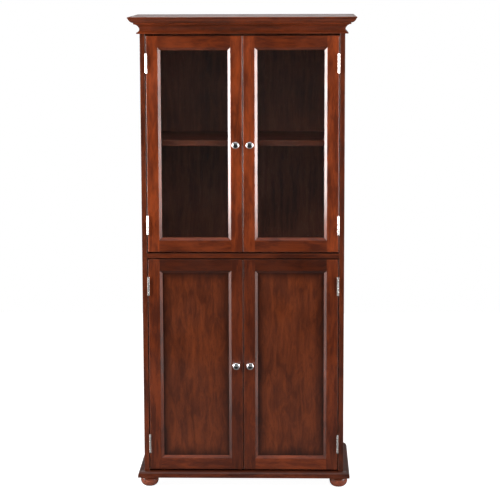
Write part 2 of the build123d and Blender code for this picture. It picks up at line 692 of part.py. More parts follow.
def frame_ring(door, glazed):
    """Right-hand door frame in one ring, before it is parted into stiles and rails."""
    ring = window(door, 0, 0, DOOR_THICKNESS)
    front = ring.edges().group_by(Axis.Y)[0]
    ring = ease(ring, front, DOOR_EASE)
    ring -= window(door, FACE_WIDTH, 0, QUIRK)
    ring -= window(door, FACE_WIDTH + STICKING_WIDTH, 0, DOOR_THICKNESS)
    ring -= bevel_waste(door)
    pane_back = DOOR_THICKNESS if glazed else PANE_FRONT + PANEL_THICKNESS
    return ring - window(door, FACE_WIDTH, PANE_FRONT, pane_back)


def stile_zone(door, edge, inward):
    """Part of the ring that belongs to a stile: full height, mitred at the moulding."""
    bottom, top = door
    face = edge + inward * FACE_WIDTH
    inner = edge + inward * (FACE_WIDTH + STICKING_WIDTH)
    full = FACE_WIDTH + STICKING_WIDTH
    points = [(edge, bottom), (face, bottom), (face, bottom + FACE_WIDTH), (inner, bottom + full),
              (inner, top - full), (face, top - FACE_WIDTH), (face, top), (edge, top)]
    return prism_xz(points, 0, DOOR_THICKNESS)


def rail_zone(z_edge, inward):
    """Part of the ring that belongs to a rail: between the stiles, mitred at the moulding."""
    full = FACE_WIDTH + STICKING_WIDTH
    left, right = DOOR_LOCK_EDGE, DOOR_HINGE_EDGE
    face = z_edge + inward * FACE_WIDTH
    inner = z_edge + inward * full
    points = [(left + FACE_WIDTH, z_edge), (right - FACE_WIDTH, z_edge), (right - FACE_WIDTH, face),
              (right - full, inner), (left + full, inner), (left + FACE_WIDTH, face)]
    return prism_xz(points, 0, DOOR_THICKNESS)


def tenons(z_edge, inward):
    """The two tenons of a rail."""
    y0 = (DOOR_THICKNESS - TENON_THICKNESS) / 2
    y1 = y0 + TENON_THICKNESS
    near = z_edge + inward * TENON_SHOULDER
    far = z_edge + inward * (FACE_WIDTH - TENON_SHOULDER)
    low, high = min(near, far), max(near, far)
    left = DOOR_LOCK_EDGE + FACE_WIDTH
    right = DOOR_HINGE_EDGE - FACE_WIDTH
    return [block(left - TENON_LENGTH, left, y0, y1, low, high),
            block(right, right + TENON_LENGTH, y0, y1, low, high)]


def rail_ends(door):
    """Outer edge of each rail and the direction towards the window."""
    return ((door[0], 1), (door[1], -1))


def hinge_stile(door, ring):
    """Right-hand hinge stile with its mortises and hinge screw holes."""
    stile = ring & stile_zone(door, DOOR_HINGE_EDGE, -1)
    tools = [tenons(z_edge, inward)[1] for z_edge, inward in rail_ends(door)]
    return carve(stile, tools + placed(screw_body(), door_hinge_screw_places(door)))


def lock_stile(door, ring):
    """Right-hand lock stile with its mortises, knob hole and strike screw hole."""
    stile = ring & stile_zone(door, DOOR_LOCK_EDGE, 1)
    tools = [tenons(z_edge, inward)[0] for z_edge, inward in rail_ends(door)]
    return carve(stile, tools + [knob_screw(door), strike_screw_place(door) * screw_body()])


def rails(door, ring):
    """Bottom and top rail with their tenons."""
    pieces = []
    for z_edge, inward in rail_ends(door):
        rail = ring & rail_zone(z_edge, inward)
        for tenon in tenons(z_edge, inward):
            rail += tenon
        pieces.append(rail)
    return pieces


def glazing_beads(door):
    """Four mitred strips that hold the glass in its rebate."""
    full = FACE_WIDTH + STICKING_WIDTH
    y0 = PANE_FRONT + GLASS_THICKNESS
    ring = window(door, FACE_WIDTH + BEAD_PLAY, y0, DOOR_THICKNESS)
    ring -= window(door, full, y0, DOOR_THICKNESS)
    rear = ring.edges().group_by(Axis.Y)[-1].sort_by(lambda edge: edge.length)
    ring = ease(ring, [*rear[0:2], *rear[4:6]], BEAD_ROUND)
    bottom, top = door
    left, right = DOOR_LOCK_EDGE, DOOR_HINGE_EDGE
    corners = [(left, bottom), (right, bottom), (right, top), (left, top)]
    inner = [(left + full, bottom + full), (right - full, bottom + full),
             (right - full, top - full), (left + full, top - full)]
    strips = []
    for i in range(4):
        j = (i + 1) % 4
        strips.append(ring & prism_xz([corners[i], corners[j], inner[j], inner[i]], y0, DOOR_THICKNESS))
    return strips


def door_nodes(door, glazed):
    """Every piece of a right-hand door, by name."""
    ring = frame_ring(door, glazed)
    nodes = {
        "hinge_stile": [hinge_stile(door, ring)],
        "lock_stile": [lock_stile(door, ring)],
        "rails": rails(door, ring),
    }
    if glazed:
        inset = FACE_WIDTH + GLASS_PLAY
        nodes["glass"] = [window(door, inset, PANE_FRONT, PANE_FRONT + GLASS_THICKNESS)]
        nodes["glazing_beads"] = glazing_beads(door)
    else:
        inset = FACE_WIDTH + PANEL_PLAY
        nodes["panel"] = [window(door, inset, PANE_FRONT, PANE_FRONT + PANEL_THICKNESS)]
    nodes["knob"] = [knob(door)]
    nodes["hinge_leaves"] = [door_leaf(door, index) for index in range(2)]
    nodes["strike_plate"] = [strike_plate(door)]
    screws = placed(wood_screw(), door_hinge_screw_places(door) + [strike_screw_place(door)])
    nodes["screws"] = screws + [knob_screw(door)]
    return nodes


# ---- assembly ------------------------------------------------------------------------------------
def write_doors():
    """Writes the four doors."""
    for level, door, glazed in (("upper", UPPER_DOOR, True), ("lower", LOWER_DOOR, False)):
        for name, shapes in door_nodes(door, glazed).items():
            write_node(f"{level}_right_door_{name}", shapes)
            write_node(f"{level}_left_door_{name}", [mirrored(shape) for shape in shapes])


def write_carcass():
    """Writes the boards, the crown and the base."""
    side = side_panel()
    crown = crown_side()
    back_screws = back_screw_places()
    write_node("right_side_panel", [side])
    write_node("left_side_panel", [mirrored(side)])
    write_node("top_panel", [top_panel()])
    write_node("fixed_shelf", [fixed_shelf()])
    write_node("base_board", [base_board()])
    write_node("lower_back_panel", [back_panel(BASE_TOP, BACK_SEAM, back_screws[:10])])
    write_node("upper_back_panel", [back_panel(BACK_SEAM, CORNICE_BOTTOM, back_screws[10:])])
    write_node("cornice_board", [cornice_board()])
    write_node("crown_front", [crown_front()])
    write_node("crown_right", [crown])
    write_node("crown_left", [mirrored(crown)])
    write_node("upper_shelf", [loose_shelf(UPPER_SHELF_BOTTOM)])
    write_node("lower_shelf", [loose_shelf(LOWER_SHELF_BOTTOM)])


def write_feet():
    """Writes the feet, their studs and their glides."""
    places = foot_places()
    for name, place in places.items():
        write_node(f"foot_{name}", [bun_foot(place)])
    write_node("foot_bolts", [foot_bolt(place) for place in places.values()])
    write_node("foot_glides", [foot_glide(place) for place in places.values()])


def write_hardware():
    """Writes the hardware that stays on the carcass."""
    doors = (LOWER_DOOR, UPPER_DOOR)
    ceilings = (FIXED_SHELF_BOTTOM, TOP_PANEL_BOTTOM)
    screw = wood_screw()
    leaves = [frame_leaf(door, index) for door in doors for index in range(2)]
    pins = [hinge_pin(centre) for door in doors for centre in hinge_centres(door)]
    catches = [catch_body(ceiling) for ceiling in ceilings]
    right_screws = []
    for door, ceiling in zip(doors, ceilings):
        right_screws += placed(screw, frame_hinge_screw_places(door) + catch_screw_places(ceiling))
    bolts = cam_bolts()
    cams = [carve(shape, bolts) for shape in placed(cam(), cam_places())]
    write_node("frame_hinge_leaves", both_hands(leaves))
    write_node("hinge_pins", both_hands(pins))
    write_node("magnetic_catches", both_hands(catches))
    write_node("carcass_screws", both_hands(right_screws) + placed(screw, back_screw_places()))
    write_node("shelf_pins", both_hands(shelf_pins()))
    write_node("cam_fittings", both_hands(cams + bolts))
    write_node("dowels", both_hands(dowels()))


os.makedirs("parts", exist_ok=True)
write_carcass()
write_feet()
write_hardware()
write_doors()
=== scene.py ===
"""Finishes, studio and camera for a tall pantry cabinet with glazed and panelled doors."""
import logging
import math
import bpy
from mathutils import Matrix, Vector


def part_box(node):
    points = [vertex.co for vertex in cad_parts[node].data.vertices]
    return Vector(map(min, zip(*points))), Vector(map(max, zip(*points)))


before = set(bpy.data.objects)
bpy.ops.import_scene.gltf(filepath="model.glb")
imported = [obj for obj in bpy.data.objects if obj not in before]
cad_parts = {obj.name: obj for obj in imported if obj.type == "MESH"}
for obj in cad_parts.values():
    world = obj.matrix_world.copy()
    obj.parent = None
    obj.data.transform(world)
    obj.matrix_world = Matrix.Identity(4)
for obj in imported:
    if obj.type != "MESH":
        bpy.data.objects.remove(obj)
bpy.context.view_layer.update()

import zlib
from dataclasses import dataclass, field
from enum import Enum

import bmesh
import bpy
from mathutils import Matrix, Vector

log = logging.getLogger("pantry_cabinet")

MM = 0.001
WEAR_SHARE = 0.7
# Painted shade in quirks and inner corners: the ambient-occlusion range that it spans, and the tint that it
# multiplies the colour by.
OPEN_NOOK, CLOSED_NOOK = 0.98, 0.55
NOOK_SHADE_TINT = (0.22, 0.16, 0.14)
TONER = (0.16, 0.13, 0.12)
PORE_STAIN = (0.012, 0.004, 0.002)
PORE_DULLING = 0.18
FILM_RELIEF = 0.35
WOOD_RELIEF = 0.05 * MM
METAL_RELIEF = 0.006 * MM
PLASTIC_RELIEF = 0.03 * MM
FILM_IOR, WOOD_IOR, GLASS_IOR = 1.5, 1.38, 1.5
WHITE = (1.0, 1.0, 1.0)
Colour = tuple[float, float, float]
Triple = tuple[float, float, float]


class GrainAxis(Enum):
    """The way a board's grain runs: how much its figure is squeezed along x, y and z."""

    ACROSS = (0.09, 1.0, 1.0)
    DEEP = (1.0, 0.09, 1.0)
    UPRIGHT = (1.0, 1.0, 0.09)


class MetalKind(Enum):
    """How a metal was brought to its surface, as the squeeze of its fine scratches."""

    POLISHED = (1.0, 1.0, 1.0)
    DRAWN_UPRIGHT = (1.0, 1.0, 0.04)
    DRAWN_DEEP = (1.0, 0.04, 1.0)


# ---- laying out shader nodes ----------------------------------------------------------------


@dataclass
class NodeBench:
    """Lays nodes into one shader tree and joins them."""

    tree: bpy.types.NodeTree

    def place(self, kind: str, **settings: object) -> bpy.types.Node:
        """Adds one node.

        Args:
            kind: the node's type name.
            settings: properties of the node, such as its operation.

        Returns:
            The new node.
        """
        node = self.tree.nodes.new(kind)
        for name, value in settings.items():
            setattr(node, name, value)
        return node

    def feed(self, socket: bpy.types.NodeSocket, value: object) -> None:
        """Joins a socket to another one, or sets it to a plain value.

        Args:
            socket: the input to fill.
            value: an output socket, a number, a vector or a colour.
        """
        if isinstance(value, bpy.types.NodeSocket):
            self.tree.links.new(value, socket)
        elif socket.type == "RGBA":
            socket.default_value = (*value[:3], 1.0)
        else:
            socket.default_value = value

    def sum_up(self, operation: str, first: object, second: object = 0.0, third: object = 0.0,
               clamp: bool = False) -> bpy.types.NodeSocket:
        """Adds a Math node.

        Args:
            operation: what it does.
            first: its first value or socket.
            second: its second value or socket.
            third: its third value or socket, for the operations that have one.
            clamp: whether the result is kept from 0 to 1.

        Returns:
            The result's socket.
        """
        node = self.place("ShaderNodeMath", operation=operation, use_clamp=clamp)
        for socket, value in zip(node.inputs, (first, second, third)):
            self.feed(socket, value)
        return node.outputs[0]

    def turn(self, operation: str, first: object, second: object = (0.0, 0.0, 0.0)) -> bpy.types.NodeSocket:
        """Adds a Vector Math node.

        Args:
            operation: what it does.
            first: its first vector or socket.
            second: its second vector or socket.

        Returns:
            The resulting vector's socket.
        """
        node = self.place("ShaderNodeVectorMath", operation=operation)
        self.feed(node.inputs[0], first)
        self.feed(node.inputs[1], second)
        return node.outputs[0]

    def noise(self, place: object, scale: float, detail: float = 2.0, rough: float = 0.5,
              swirl: float = 0.0) -> bpy.types.NodeSocket:
        """Adds a noise.

        Args:
            place: the point that it is read at.
            scale: how many of its lumps fit in a metre.
            detail: how many finer layers it has.
            rough: how strong the finer layers are.
            swirl: how much it is distorted.

        Returns:
            The noise's value, from 0 to 1 and mostly near the middle.
        """
        node = self.place("ShaderNodeTexNoise")
        self.feed(node.inputs["Vector"], place)
        settings = {"Scale": scale, "Detail": detail, "Roughness": rough, "Distortion": swirl}
        for name, value in settings.items():
            self.feed(node.inputs[name], value)
        return node.outputs["Fac"]

    def spread(self, value: object, low: object, high: object, start: object = 0.0,
               end: object = 1.0, soft: bool = True) -> bpy.types.NodeSocket:
        """Stretches a range of a value over another range.

        Args:
            value: the socket to read.
            low: the value that gives start.
            high: the value that gives end.
            start: the result at low.
            end: the result at high.
            soft: whether it eases in and out.

        Returns:
            The stretched value's socket.
        """
        kind = "SMOOTHSTEP" if soft else "LINEAR"
        node = self.place("ShaderNodeMapRange", interpolation_type=kind, clamp=True)
        ends = {"Value": value, "From Min": low, "From Max": high, "To Min": start, "To Max": end}
        for name, given in ends.items():
            self.feed(node.inputs[name], given)
        return node.outputs["Result"]

    def tint(self, share: object, under: object, over: object, blend: str = "MIX") -> bpy.types.NodeSocket:
        """Lays one colour over another.

        Args:
            share: how much of the upper colour shows.
            under: the lower colour.
            over: the upper colour.
            blend: how the two combine.

        Returns:
            The combined colour's socket.
        """
        node = self.place("ShaderNodeMix", data_type="RGBA", blend_type=blend, clamp_factor=True)
        self.feed(node.inputs[0], share)
        self.feed(node.inputs[6], under)
        self.feed(node.inputs[7], over)
        return node.outputs[2]


@dataclass
class SurfaceEffect:
    """A shader node group that several finishes share, built once."""

    name: str
    inputs: dict[str, tuple[str, object]]
    outputs: dict[str, str]
    group: bpy.types.NodeTree = field(init=False)

    def __post_init__(self) -> None:
        """Makes the empty group with its named sockets."""
        self.group = bpy.data.node_groups.new(self.name, "ShaderNodeTree")
        for name, (kind, value) in self.inputs.items():
            socket = self.group.interface.new_socket(name=name, in_out="INPUT",
                                                     socket_type=f"NodeSocket{kind}")
            socket.default_value = (*value, 1.0) if kind == "Color" else value
        for name, kind in self.outputs.items():
            self.group.interface.new_socket(name=name, in_out="OUTPUT", socket_type=f"NodeSocket{kind}")

    def open_up(self) -> tuple[NodeBench, dict[str, bpy.types.NodeSocket], bpy.types.Node]:
        """Starts the group's inside.

        Returns:
            The bench for its nodes, its inputs by name, and its output node.
        """
        bench = NodeBench(self.group)
        way_in = bench.place("NodeGroupInput")
        way_out = bench.place("NodeGroupOutput")
        return bench, {name: way_in.outputs[name] for name in self.inputs}, way_out

    def lay_into(self, bench: NodeBench, **values: object) -> bpy.types.Node:
        """Places the group in a material.

        Args:
            bench: the material's bench.
            values: its inputs, with underscores for the spaces in their names.

        Returns:
            The group's node.
        """
        node = bench.place("ShaderNodeGroup", node_tree=self.group)
        for name, value in values.items():
            bench.feed(node.inputs[name.replace("_", " ")], value)
        return node


def wood_figure() -> SurfaceEffect:
    """Builds the figure of a stained board: cloudy stain, streaks along the grain, and fine open pores.

    Returns:
        The effect.
    """
    effect = SurfaceEffect(
        "wood_figure",
        {"Place": ("Vector", (0, 0, 0)), "Squeeze": ("Vector", (1, 1, 1)), "Shift": ("Vector", (0, 0, 0)),
         "Deep stain": ("Color", (0.1, 0.02, 0.01)), "Thin stain": ("Color", (0.3, 0.07, 0.02)),
         "Cloud": ("Float", 0.5), "Mottle": ("Float", 0.3), "Streak": ("Float", 0.4),
         "Pores": ("Float", 0.4)},
        {"Colour": "Color", "Pore mask": "Float", "Relief": "Float"})
    bench, given, way_out = effect.open_up()
    point = bench.turn("ADD", given["Place"], given["Shift"])
    along = bench.turn("MULTIPLY", point, given["Squeeze"])
    # The stain takes unevenly in patches a hand or so across.
    patch = bench.turn("MULTIPLY", point, bench.turn("ADD", given["Squeeze"], (0.9, 0.9, 0.9)))
    cloud = bench.spread(bench.noise(patch, 4.2, 3.0, 0.55, 0.4), 0.34, 0.68)
    # Rippled mottle, a thumb wide and a few thumbs long.
    ripple = bench.turn("MULTIPLY", point, bench.turn("ADD", given["Squeeze"], (0.22, 0.22, 0.22)))
    mottle = bench.spread(bench.noise(ripple, 34.0, 3.5, 0.6, 1.1), 0.33, 0.68)
    # Annual layers show as streaks that wander slowly.
    sway = bench.place("ShaderNodeTexNoise")
    bench.feed(sway.inputs["Vector"], bench.turn("MULTIPLY", point, (1.6, 1.6, 1.6)))
    bench.feed(sway.inputs["Scale"], 2.4)
    wander = bench.turn("MULTIPLY", sway.outputs["Color"], (0.03, 0.03, 0.03))
    streak = bench.spread(bench.noise(bench.turn("ADD", along, wander), 74.0, 5.0, 0.62, 0.25), 0.34, 0.67)
    thread = bench.spread(bench.noise(along, 420.0, 2.0, 0.5), 0.3, 0.7)
    # Pores are short dark dashes, much longer than they are wide.
    pore = bench.spread(bench.noise(along, 1150.0, 1.0, 0.45), 0.6, 0.72)
    tone = bench.sum_up("MULTIPLY_ADD", bench.sum_up("SUBTRACT", cloud, 0.5), given["Cloud"], 0.5)
    tone = bench.sum_up("MULTIPLY_ADD", bench.sum_up("SUBTRACT", mottle, 0.5), given["Mottle"], tone)
    fine = bench.sum_up("MULTIPLY_ADD", thread, 0.35, bench.sum_up("MULTIPLY_ADD", streak, 0.65, -0.5))
    tone = bench.sum_up("MULTIPLY_ADD", fine, given["Streak"], tone, clamp=True)
    colour = bench.tint(tone, given["Deep stain"], given["Thin stain"])
    depth = bench.sum_up("MULTIPLY", pore, given["Pores"])
    colour = bench.tint(depth, colour, bench.tint(0.75, colour, PORE_STAIN))
    relief = bench.sum_up("MULTIPLY_ADD", thread, 0.25, bench.sum_up("MULTIPLY", depth, -1.0))
    bench.feed(way_out.inputs["Colour"], colour)
    bench.feed(way_out.inputs["Pore mask"], depth)
    bench.feed(way_out.inputs["Relief"], relief)
    return effect


def edge_wear() -> SurfaceEffect:
    """Builds the rubbed edges of a piece, and the distance in from them, from the piece's own box.

    Returns:
        The effect.
    """
    effect = SurfaceEffect(
        "edge_wear",
        {"Place": ("Vector", (0, 0, 0)), "Low corner": ("Vector", (0, 0, 0)),
         "High corner": ("Vector", (1, 1, 1)),
         "Reach": ("Float", 0.003), "Raggedness": ("Float", 0.5)},
        {"Wear": "Float", "Inset": "Float"})
    bench, given, way_out = effect.open_up()
    below = bench.place("ShaderNodeSeparateXYZ")
    above = bench.place("ShaderNodeSeparateXYZ")
    bench.feed(below.inputs[0], bench.turn("SUBTRACT", given["Place"], given["Low corner"]))
    bench.feed(above.inputs[0], bench.turn("SUBTRACT", given["High corner"], given["Place"]))
    gaps = [bench.sum_up("MAXIMUM", bench.sum_up("MINIMUM", low_gap, high_gap), 0.0)
            for low_gap, high_gap in zip(below.outputs, above.outputs)]
    # On a face one gap is nothing, so the middle one of the three is the way in from the nearest edge.
    least = bench.sum_up("MINIMUM", gaps[0], gaps[1])
    most = bench.sum_up("MAXIMUM", gaps[0], gaps[1])
    inset = bench.sum_up("MAXIMUM", least, bench.sum_up("MINIMUM", most, gaps[2]))
    rag = bench.spread(bench.noise(given["Place"], 130.0, 4.0, 0.62), 0.34, 0.66)
    rag = bench.sum_up("MULTIPLY_ADD", bench.sum_up("SUBTRACT", rag, 1.0), given["Raggedness"], 1.0)
    reach = bench.sum_up("MULTIPLY", given["Reach"], rag)
    near = bench.spread(inset, 0.0, reach, 1.0, 0.0)
    bench.feed(way_out.inputs["Wear"], bench.sum_up("MULTIPLY", near, rag))
    bench.feed(way_out.inputs["Inset"], inset)
    return effect


def lacquer_film() -> SurfaceEffect:
    """Builds a sprayed film's slow ripple, dust nibs and uneven gloss.

    Returns:
        The effect.
    """
    effect = SurfaceEffect(
        "lacquer_film",
        {"Place": ("Vector", (0, 0, 0)), "Glossiest": ("Float", 0.3), "Dullest": ("Float", 0.45),
         "Ripple": ("Float", 1.0), "Film": ("Float", 0.3)},
        {"Roughness": "Float", "Relief": "Float", "Film weight": "Float"})
    bench, given, way_out = effect.open_up()
    patch = bench.spread(bench.noise(given["Place"], 9.0, 4.0, 0.6), 0.3, 0.7)
    haze = bench.spread(bench.noise(given["Place"], 160.0, 3.0, 0.6), 0.3, 0.7)
    share = bench.sum_up("MULTIPLY_ADD", haze, 0.35, bench.sum_up("MULTIPLY", patch, 0.65))
    gloss = bench.spread(share, 0.0, 1.0, given["Glossiest"], given["Dullest"], False)
    bench.feed(way_out.inputs["Roughness"], gloss)
    peel = bench.noise(given["Place"], 210.0, 1.5, 0.5)
    nib = bench.spread(bench.noise(given["Place"], 900.0, 0.0, 0.5), 0.74, 0.8)
    relief = bench.sum_up("MULTIPLY_ADD", nib, 0.6, bench.sum_up("MULTIPLY", peel, given["Ripple"]))
    bench.feed(way_out.inputs["Relief"], relief)
    thinnest = bench.sum_up("MULTIPLY", given["Film"], 0.8)
    weight = bench.spread(patch, 0.0, 1.0, given["Film"], thinnest, False)
    bench.feed(way_out.inputs["Film weight"], weight)
    return effect


def handled_metal() -> SurfaceEffect:
    """Builds the smudges, fine scratches and dull flecks of a metal fitting.

    Returns:
        The effect.
    """
    effect = SurfaceEffect(
        "handled_metal",
        {"Place": ("Vector", (0, 0, 0)), "Squeeze": ("Vector", (1, 1, 1)),
         "Bright": ("Color", (0.9, 0.9, 0.9)),
         "Dull": ("Color", (0.5, 0.5, 0.5)), "Smooth": ("Float", 0.06), "Smudged": ("Float", 0.16),
         "Scratches": ("Float", 0.5)},
        {"Colour": "Color", "Roughness": "Float", "Relief": "Float"})
    bench, given, way_out = effect.open_up()
    smudge = bench.spread(bench.noise(given["Place"], 260.0, 4.0, 0.62, 0.8), 0.42, 0.72)
    scratch = bench.noise(bench.turn("MULTIPLY", given["Place"], given["Squeeze"]), 2600.0, 2.0, 0.6)
    fleck = bench.spread(bench.noise(given["Place"], 620.0, 3.0, 0.6), 0.6, 0.76)
    bench.feed(way_out.inputs["Colour"], bench.tint(fleck, given["Bright"], given["Dull"]))
    rough = bench.spread(smudge, 0.0, 1.0, given["Smooth"], given["Smudged"], False)
    fine = bench.spread(scratch, 0.35, 0.65)
    lift = bench.sum_up("MULTIPLY", bench.sum_up("MULTIPLY", fine, given["Scratches"]), 0.04)
    bench.feed(way_out.inputs["Roughness"], bench.sum_up("ADD", rough, lift))
    bench.feed(way_out.inputs["Relief"], bench.sum_up("MULTIPLY", fine, given["Scratches"]))
    return effect


FIGURE = wood_figure()
WEAR = edge_wear()
LACQUER = lacquer_film()
HANDLED = handled_metal()


# ---- finishes ---------------------------------------------------------------------------------


def seed_of(name: str) -> Triple:
    """Gives a piece its own place in the log that its figure is cut from.

    Args:
        name: the piece's name.

    Returns:
        A shift in metres, the same on every run.
    """
    number = zlib.crc32(name.encode())
    return tuple(((number >> bits) % 997) * 0.011 for bits in (0, 7, 15))


def new_material(name: str) -> tuple[bpy.types.Material, NodeBench, bpy.types.Node, bpy.types.NodeSocket]:
    """Starts a material with one Principled shader and object coordinates.

    Args:
        name: the material's name.

    Returns:
        The material, its bench, its Principled shader, and the coordinates' socket.
    """
    material = bpy.data.materials.new(name)
    material.use_nodes = True
    bench = NodeBench(material.node_tree)
    shader = material.node_tree.nodes["Principled BSDF"]
    place = bench.place("ShaderNodeTexCoord").outputs["Object"]
    return material, bench, shader, place


def raise_surface(bench: NodeBench, shader: bpy.types.Node, height: bpy.types.NodeSocket,
                  depth: float) -> None:
    """Turns a height into the shader's normal.

    Args:
        bench: the material's bench.
        shader: its Principled shader.
        height: the height, about 0 to 1.
        depth: how deep the relief is, in metres.
    """
    bump = bench.place("ShaderNodeBump")
    bench.feed(bump.inputs["Strength"], 1.0)
    bench.feed(bump.inputs["Distance"], depth)
    bench.feed(bump.inputs["Height"], height)
    bench.feed(shader.inputs["Normal"], bump.outputs["Normal"])


@dataclass(frozen=True)
class StainedWood:
    """Stained and lacquered wood.

    Attributes:
        label: the start of its materials' names.
        deep: the stain where it took well.
        thin: the stain where it took thinly.
        rubbed: the colour of rubbed edges.
        cloud: how cloudy the stain is.
        mottle: how rippled the figure is.
        streak: how strong the streaks are.
        pores: how open the grain is.
        glossiest: the lowest roughness.
        dullest: the highest roughness.
        film: the clear film's weight.
        film_rough: the clear film's roughness.
        reach: how far the rubbing comes in from an edge.
        nook_size: how near a facing surface makes a nook.
        nook_shade: how dark the painted shade in quirks and inner corners is.
        toned: how dark the toner round a panel is.
        toned_reach: how far that toner comes in.
    """

    label: str
    deep: Colour
    thin: Colour
    rubbed: Colour
    cloud: float = 0.55
    mottle: float = 0.6
    streak: float = 0.75
    pores: float = 0.55
    glossiest: float = 0.3
    dullest: float = 0.44
    film: float = 0.45
    film_rough: float = 0.1
    reach: float = 2.6 * MM
    nook_size: float = 7 * MM
    nook_shade: float = 0.75
    toned: float = 0.0
    toned_reach: float = 50 * MM

    def dress(self, node: str, grain: GrainAxis, tone: float = 1.0, top_shade: float = 1.0) -> bpy.types.Material:
        """Makes the material for one board or set of boards.

        Args:
            node: the piece, whose box gives its edges and whose name gives its figure.
            grain: the way its grain runs.
            tone: a factor on the stain's lightness, matched to how light it looked against its neighbours, so
                it holds painted shade as well as the stain's own tone.
            top_shade: how light its top is against its foot, a painted shadow that darkens the colour towards
                the top.

        Returns:
            The material.
        """
        # The tone factor scales every stain, so the shade that a piece was matched under is painted into its
        # colour.
        stains = (self.deep, self.thin, self.rubbed)
        deep, thin, rubbed = (tuple(tone * part for part in stain) for stain in stains)
        material, bench, shader, place = new_material(f"{self.label}.{node}")
        low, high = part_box(node)
        figure = FIGURE.lay_into(bench, Place=place, Squeeze=grain.value, Shift=seed_of(node),
                                 Deep_stain=deep, Thin_stain=thin, Cloud=self.cloud,
                                 Mottle=self.mottle, Streak=self.streak, Pores=self.pores)
        wear = WEAR.lay_into(bench, Place=place, Low_corner=tuple(low), High_corner=tuple(high),
                             Reach=self.reach)
        film = LACQUER.lay_into(bench, Place=place, Glossiest=self.glossiest, Dullest=self.dullest,
                                Film=self.film)
        worn = bench.sum_up("MULTIPLY", wear.outputs["Wear"], WEAR_SHARE)
        colour = bench.tint(worn, figure.outputs["Colour"], rubbed)
        # Painted shadow: the colour darkens towards the piece's top, as in the shade under the part above it.
        if top_shade != 1.0:
            level = bench.place("ShaderNodeSeparateXYZ")
            bench.feed(level.inputs[0], place)
            share = bench.spread(level.outputs["Z"], low[2], high[2])
            colour = bench.tint(share, colour, bench.tint(1.0, colour, (top_shade,) * 3, "MULTIPLY"))
        # Painted shade: quirks and inner corners, found by a short ambient-occlusion test, are darkened in
        # the colour.
        nook = bench.place("ShaderNodeAmbientOcclusion", samples=6, only_local=True)
        nook.inputs["Distance"].default_value = self.nook_size
        hollow = bench.spread(nook.outputs["AO"], CLOSED_NOOK, OPEN_NOOK, self.nook_shade, 0.0)
        colour = bench.tint(hollow, colour, bench.tint(1.0, colour, NOOK_SHADE_TINT, "MULTIPLY"))
        if self.toned:
            shade = bench.spread(wear.outputs["Inset"], 0.0, self.toned_reach, self.toned, 0.0)
            colour = bench.tint(shade, colour, bench.tint(1.0, colour, TONER, "MULTIPLY"))
        bench.feed(shader.inputs["Base Color"], colour)
        dulled = bench.sum_up("MULTIPLY_ADD", figure.outputs["Pore mask"], PORE_DULLING,
                              film.outputs["Roughness"])
        bench.feed(shader.inputs["Roughness"], dulled)
        bench.feed(shader.inputs["Coat Weight"], film.outputs["Film weight"])
        shader.inputs["Coat Roughness"].default_value = self.film_rough
        shader.inputs["Coat IOR"].default_value = FILM_IOR
        shader.inputs["IOR"].default_value = WOOD_IOR
        height = bench.sum_up("MULTIPLY_ADD", film.outputs["Relief"], FILM_RELIEF, figure.outputs["Relief"])
        raise_surface(bench, shader, height, WOOD_RELIEF)
        return material


@dataclass(frozen=True)
class FittingMetal:
    """Plated or bare metal of a small fitting.

    Attributes:
        label: the material's name.
        bright: the colour where it is clean.
        dull: the colour of small dull flecks.
        smooth: the lowest roughness.
        smudged: the roughness under smudges.
        scratches: how strong the fine scratches are.
        kind: how its surface was made.
    """

    label: str
    bright: Colour
    dull: Colour
    smooth: float
    smudged: float
    scratches: float = 0.5
    kind: MetalKind = MetalKind.POLISHED

    def dress(self) -> bpy.types.Material:
        """Makes the metal's material.

        Returns:
            The material.
        """
        material, bench, shader, place = new_material(self.label)
        metal = HANDLED.lay_into(bench, Place=place, Squeeze=self.kind.value, Bright=self.bright,
                                 Dull=self.dull, Smooth=self.smooth, Smudged=self.smudged,
                                 Scratches=self.scratches)
        shader.inputs["Metallic"].default_value = 1.0
        bench.feed(shader.inputs["Base Color"], metal.outputs["Colour"])
        bench.feed(shader.inputs["Roughness"], metal.outputs["Roughness"])
        raise_surface(bench, shader, metal.outputs["Relief"], METAL_RELIEF)
        return material


@dataclass(frozen=True)
class MouldedPlastic:
    """Moulded plastic with a fine spark-eroded texture.

    Attributes:
        label: the material's name.
        colour: its colour.
        worn: the colour of scuffs.
        glossiest: its lowest roughness.
        dullest: its highest roughness.
    """

    label: str
    colour: Colour
    worn: Colour
    glossiest: float = 0.4
    dullest: float = 0.6

    def dress(self) -> bpy.types.Material:
        """Makes the plastic's material.

        Returns:
            The material.
        """
        material, bench, shader, place = new_material(self.label)
        film = LACQUER.lay_into(bench, Place=place, Glossiest=self.glossiest, Dullest=self.dullest,
                                Ripple=1.6)
        scuff = bench.spread(bench.noise(place, 340.0, 4.0, 0.65), 0.55, 0.74)
        bench.feed(shader.inputs["Base Color"], bench.tint(scuff, self.colour, self.worn))
        bench.feed(shader.inputs["Roughness"], film.outputs["Roughness"])
        raise_surface(bench, shader, film.outputs["Relief"], PLASTIC_RELIEF)
        return material


